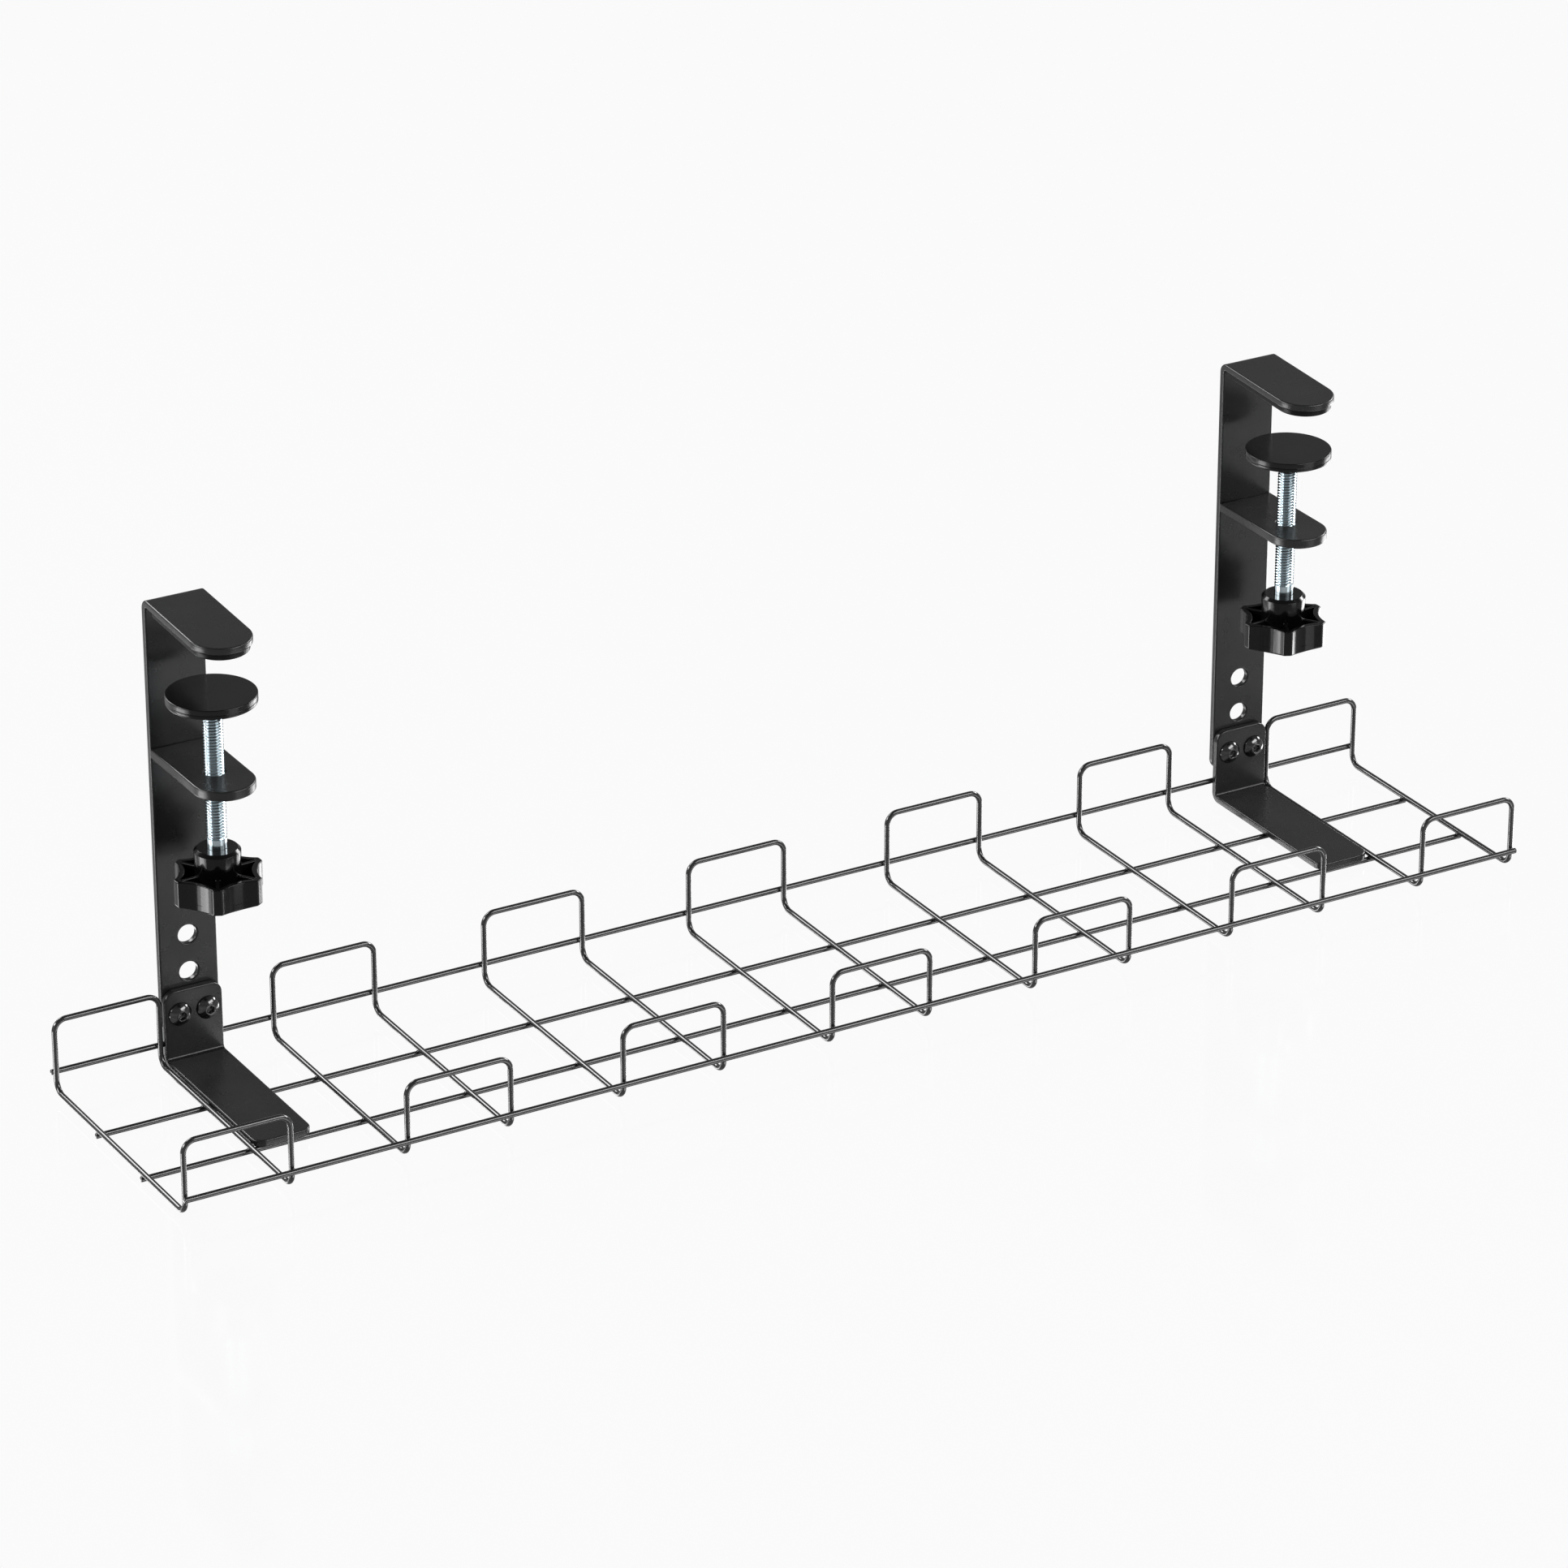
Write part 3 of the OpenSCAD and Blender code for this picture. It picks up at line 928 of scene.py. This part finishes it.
def cut_end(line, cut):
    """Polyline with cut taken off its far end."""
    line = list(line)
    left = cut
    while len(line) > 2 and math.dist(line[-1], line[-2]) <= left:
        left -= math.dist(line[-1], line[-2])
        line.pop()
    span = math.dist(line[-1], line[-2])
    t = min(0.9, left / span)
    line[-1] = tuple(a + (b - a) * t for a, b in zip(line[-1], line[-2]))
    return line


def with_normals(points):
    """Outline points with outward normals, for an outline that runs anticlockwise."""
    count = len(points)
    outline = []
    for i, (x, y) in enumerate(points):
        px, py = points[i - 1]
        qx, qy = points[(i + 1) % count]
        dx, dy = qx - px, qy - py
        length = math.hypot(dx, dy) or 1.0
        outline.append((x, y, dy / length, -dx / length))
    return outline


def knob_outline():
    """Outline of the lobed wall: flank, tip, flank, and so on."""
    segments = []
    cuts = []
    for i in range(LOBE_COUNT):
        valley = LOBE_TURN + (i + 0.5) * 360 / LOBE_COUNT
        tip = valley + 180 / LOBE_COUNT
        segments.append(flank_points(valley, 0, 18)[0])
        cuts.append(0.5)
        segments.append(arc_points(0, 0, TIP_R, tip - TIP_HALF, tip + TIP_HALF, 6))
        cuts.append(0.5)
    return with_normals(joined(segments, cuts))


def pocket_outline(index):
    """Pocket between two ribs: rib, tip wall, flank wall, tip wall, rib and hub."""
    valley = LOBE_TURN + (index + 0.5) * 360 / LOBE_COUNT
    flank, turn = flank_points(valley, RIM_WALL, 14)
    tip = TIP_R - RIM_WALL
    hub = HUB_D / 2 - HUB_TAPER * 0.5
    rib_tip = math.degrees(math.asin(RIB_T / 2 / tip))
    rib_hub = math.degrees(math.asin(RIB_T / 2 / hub))
    half = 180 / LOBE_COUNT
    near = arc_points(0, 0, tip, valley - half + rib_tip, valley - turn, 4)
    far = arc_points(0, 0, tip, valley + turn, valley + half - rib_tip, 4)
    inner = arc_points(0, 0, hub, valley + half - rib_hub, valley - half + rib_hub, 12)
    segments = [
        near, flank, far,
        [far[-1], inner[0]], inner, [inner[-1], near[0]],
    ]
    return with_normals(joined(segments, [0.5, 0.5, 0.5, 0.7, 0.7, 0.5], 4))


def crown(x, y):
    """Depth of the domed underside below the level of the tips."""
    valley_r = TIP_R - VALLEY_DEPTH
    return CROWN_DROP * (TIP_R ** 2 - x ** 2 - y ** 2) / (TIP_R ** 2 - valley_r ** 2)


def star_knob(side, side_x):
    """Lobed wall with a domed underside, six open pockets between the ribs, and the hub."""
    shell = Shell()
    outer = knob_outline()
    pockets = [pocket_outline(i) for i in range(LOBE_COUNT)]
    verts = []
    faces = []
    # Outer wall from the underside up, with its edges rounded
    rings = []
    base_r = KNOB_BASE_EDGE_R
    top_r = KNOB_TOP_EDGE_R
    levels = []
    for k in range(5):
        turn = math.pi / 2 * k / 4
        levels.append((base_r * (1 - math.sin(turn)), base_r * (1 - math.cos(turn))))
    for k in range(4):
        turn = math.pi / 2 * k / 3
        levels.append((top_r * (1 - math.cos(turn)), KNOB_H - top_r * (1 - math.sin(turn))))
    for inset, z in levels:
        ring = []
        for x, y, nx, ny in outer:
            ring.append(len(verts))
            x, y = x - nx * inset, y - ny * inset
            verts.append((x, y, z - crown(x, y) if z < KNOB_H / 2 else z))
        rings.append(ring)
    # Domed underside, in from the outer edge to the middle
    edge = [verts[i] for i in rings[0]]
    for share in (0.95, 0.8, 0.6, 0.35, 0.1):
        ring = []
        for x, y, _ in edge:
            x, y = x * share, y * share
            ring.append(len(verts))
            verts.append((x, y, -crown(x, y)))
        rings.insert(0, ring)
    faces.extend(bridged(rings))
    verts.append((0, 0, -crown(0, 0)))
    count = len(outer)
    faces.extend((len(verts) - 1, rings[0][(i + 1) % count], rings[0][i]) for i in range(count))
    loops = [rings[-1]]
    for pocket in pockets:
        inner_rings = []
        pocket_levels = []
        for k in range(4):
            turn = math.pi / 2 * k / 3
            inset = -top_r * (1 - math.sin(turn))
            pocket_levels.append((inset, KNOB_H - top_r * (1 - math.cos(turn))))
        # Draft of the mould, and the fillet at the pocket's floor
        pocket_levels.append((0.22, KNOB_FLOOR + 0.5))
        pocket_levels.append((0.72, KNOB_FLOOR))
        for inset, z in pocket_levels:
            ring = []
            for x, y, nx, ny in pocket:
                ring.append(len(verts))
                verts.append((x - nx * inset, y - ny * inset, z))
            inner_rings.append(ring)
        faces.extend(bridged(inner_rings))
        faces.append(inner_rings[-1])
        loops.append(inner_rings[0])
    cap_index = [i for loop in loops for i in loop]
    for corners in cap_faces([[Vector(verts[i][:2]) for i in loop] for loop in loops]):
        faces.append([cap_index[i] for i in corners])
    shell.add(verts, faces)
    # Hub
    hub_r = HUB_D / 2
    hub_h = KNOB_H + HUB_RISE
    bore_r = NECK_D / 2 + 0.05
    profile = rounded_profile(
        [
            (hub_r - HUB_TAPER, KNOB_FLOOR / 2), (hub_r, hub_h - HUB_CHAMFER),
            (hub_r - HUB_CHAMFER, hub_h), (bore_r, hub_h), (bore_r, hub_h - 2),
        ],
        [0.2, 0.2, 0.12],
    )
    shell.add(*lathe(profile))
    shell.moved(side_x, CLAMP_Y, KNOB_Z)
    smooth_piece(
        f"moulded_knob_{side}", shell.verts, shell.faces, KNOB_PLASTIC, f"screw_{side}",
        [f"star_knob_{side}"],
    )


for index in range(LOOP_COUNT):
    wire_loop(index)
long_wire("rear_side_wire", SIDE_WIRE_OFF, LOOP_Z + REAR_WIRE_H)
long_wire("rear_floor_wire", REAR_FLOOR_Y, WIRE_R)
long_wire("front_floor_wire", -FRONT_FLOOR_Y, WIRE_R)
long_wire("front_side_wire", -SIDE_WIRE_OFF, LOOP_Z + FRONT_WIRE_H)
weld_spots()
for side, side_x in (("left", -CLAMP_X), ("right", CLAMP_X)):
    hanger(side, side_x)
    clamp_shelf(side, side_x)
    jaw_pad(side, side_x)
    tray_bracket(side, side_x)
    for number in (1, 2):
        tray_screw(side, side_x, number)
    clamp_disc(side, side_x)
    clamp_screw(side, side_x)
    star_knob(side, side_x)


# Floor, light and camera, in metres
FLOOR_HALF = 12.0
FLOOR_GREY = (0.32, 0.32, 0.32, 1)
# Share of plain white in what the camera and what reflections see of the floor
WHITE_TO_CAMERA = 0.94
WHITE_TO_GLOSS = 0.2
# The camera sees the same white past the floor's edge as on the floor
BACKDROP_WHITE = (0.965, 0.965, 0.965, 1)
# Level of the surrounding light from below (0) to above (1)
SKY_STOPS = ((0.0, 0.45), (0.2, 0.25), (0.4, 0.2), (0.5, 0.28), (0.7, 0.2), (1.0, 0.12))
LAMP_AIM = Vector((0, 0, 0.08))
CAMERA_LENS = 157.0017
CAMERA_PLACE = (-1.241946, -2.131880, 1.234366)
CAMERA_AIM = Vector((0.453562, 0.785190, -0.421615))


def floor():
    """Polished white floor. The camera and reflections see part of it as plain white."""
    mesh = bpy.data.meshes.new("floor")
    size = FLOOR_HALF
    corners = [(-size, -size, 0), (size, -size, 0), (size, size, 0), (-size, size, 0)]
    mesh.from_pydata(corners, [], [(0, 1, 2, 3)])
    piece = bpy.data.objects.new("floor", mesh)
    bpy.context.scene.collection.objects.link(piece)
    material = bpy.data.materials.new("floor")
    material.use_nodes = True
    tree = material.node_tree
    tree.nodes.clear()
    out = tree.nodes.new("ShaderNodeOutputMaterial")
    diffuse = tree.nodes.new("ShaderNodeBsdfDiffuse")
    diffuse.inputs["Color"].default_value = FLOOR_GREY
    polish = tree.nodes.new("ShaderNodeBsdfGlossy")
    polish.inputs["Color"].default_value = (1, 1, 1, 1)
    polish.inputs["Roughness"].default_value = 0.08
    surface = tree.nodes.new("ShaderNodeMixShader")
    surface.inputs["Fac"].default_value = 0.6
    white = tree.nodes.new("ShaderNodeEmission")
    white.inputs["Strength"].default_value = 1.0
    mix = tree.nodes.new("ShaderNodeMixShader")
    path = tree.nodes.new("ShaderNodeLightPath")
    either = tree.nodes.new("ShaderNodeMath")
    either.operation = "MAXIMUM"
    reflected = tree.nodes.new("ShaderNodeMath")
    reflected.operation = "MULTIPLY"
    reflected.inputs[1].default_value = WHITE_TO_GLOSS
    share = tree.nodes.new("ShaderNodeMath")
    share.operation = "MULTIPLY_ADD"
    share.inputs[1].default_value = WHITE_TO_CAMERA
    tree.links.new(path.outputs["Is Glossy Ray"], either.inputs[0])
    tree.links.new(path.outputs["Is Transmission Ray"], either.inputs[1])
    tree.links.new(either.outputs[0], reflected.inputs[0])
    tree.links.new(path.outputs["Is Camera Ray"], share.inputs[0])
    tree.links.new(reflected.outputs[0], share.inputs[2])
    tree.links.new(share.outputs[0], mix.inputs["Fac"])
    tree.links.new(diffuse.outputs[0], surface.inputs[1])
    tree.links.new(polish.outputs[0], surface.inputs[2])
    tree.links.new(surface.outputs[0], mix.inputs[1])
    tree.links.new(white.outputs[0], mix.inputs[2])
    tree.links.new(mix.outputs[0], out.inputs["Surface"])
    mesh.materials.append(material)


def lamp(name, azimuth, elevation, distance, size, power):
    """Soft box. Azimuth 0 is to the front (-Y) and turns to the right (+X)."""
    a, e = math.radians(azimuth), math.radians(elevation)
    light = bpy.data.lights.new(name, "AREA")
    light.shape = "RECTANGLE"
    light.size, light.size_y = size
    light.energy = power
    piece = bpy.data.objects.new(name, light)
    bpy.context.scene.collection.objects.link(piece)
    away = Vector((math.sin(a) * math.cos(e), -math.cos(a) * math.cos(e), math.sin(e)))
    piece.location = LAMP_AIM + away * distance
    piece.rotation_mode = "QUATERNION"
    piece.rotation_quaternion = (-away).to_track_quat("-Z", "Y")
    piece.visible_camera = False


def surroundings():
    """Plain soft light from all round."""
    world = bpy.data.worlds.new("world")
    bpy.context.scene.world = world
    world.use_nodes = True
    tree = world.node_tree
    background = tree.nodes["Background"]
    background.inputs["Strength"].default_value = 1.0
    coord = tree.nodes.new("ShaderNodeTexCoord")
    split = tree.nodes.new("ShaderNodeSeparateXYZ")
    sky = tree.nodes.new("ShaderNodeValToRGB")
    first, last = sky.color_ramp.elements
    for (position, level), stop in ((SKY_STOPS[0], first), (SKY_STOPS[-1], last)):
        stop.position = position
        stop.color = (level,) * 3 + (1,)
    for position, level in SKY_STOPS[1:-1]:
        sky.color_ramp.elements.new(position).color = (level,) * 3 + (1,)
    tree.links.new(coord.outputs["Generated"], split.inputs["Vector"])
    tree.links.new(split.outputs["Z"], sky.inputs["Fac"])
    tree.links.new(sky.outputs["Color"], background.inputs["Color"])
    plain = tree.nodes.new("ShaderNodeBackground")
    plain.inputs["Color"].default_value = BACKDROP_WHITE
    seen = tree.nodes.new("ShaderNodeLightPath")
    shown = tree.nodes.new("ShaderNodeMixShader")
    tree.links.new(seen.outputs["Is Camera Ray"], shown.inputs["Fac"])
    tree.links.new(background.outputs[0], shown.inputs[1])
    tree.links.new(plain.outputs[0], shown.inputs[2])
    tree.links.new(shown.outputs[0], tree.nodes["World Output"].inputs["Surface"])


floor()
surroundings()
lamp("key", 31, 37.5, 1.46, (1.2, 0.45), 11.5)
lamp("back_left", 205, 33, 1.25, (0.55, 0.4), 6.5)
lamp("front", 27, 19.5, 4.26, (1.9, 0.8), 11)
# Side lights, brightest in their middle: name, azimuth, width and power
for name, azimuth, width, power in (
    ("left_rear", -147, 2.5, 6.5), ("left_fade", -125, 0.84, 10), ("left", -108.5, 1.68, 86),
    ("left_front", -92, 0.84, 20), ("right_front", 88, 0.84, 30), ("right", 102.5, 1.68, 70),
    ("right_rear", 119, 0.84, 13),
):
    lamp(name, azimuth, 23.5, 4.26, (width, 0.85), power)

camera = bpy.data.cameras.new("camera")
camera.lens = CAMERA_LENS
camera.sensor_width = 36.0
camera.clip_start = 0.05
camera.clip_end = 100.0
viewer = bpy.data.objects.new("camera", camera)
bpy.context.scene.collection.objects.link(viewer)
viewer.location = CAMERA_PLACE
viewer.rotation_mode = "QUATERNION"
viewer.rotation_quaternion = CAMERA_AIM.to_track_quat("-Z", "Y")
bpy.context.scene.camera = viewer
bpy.context.scene.view_settings.view_transform = "Standard"
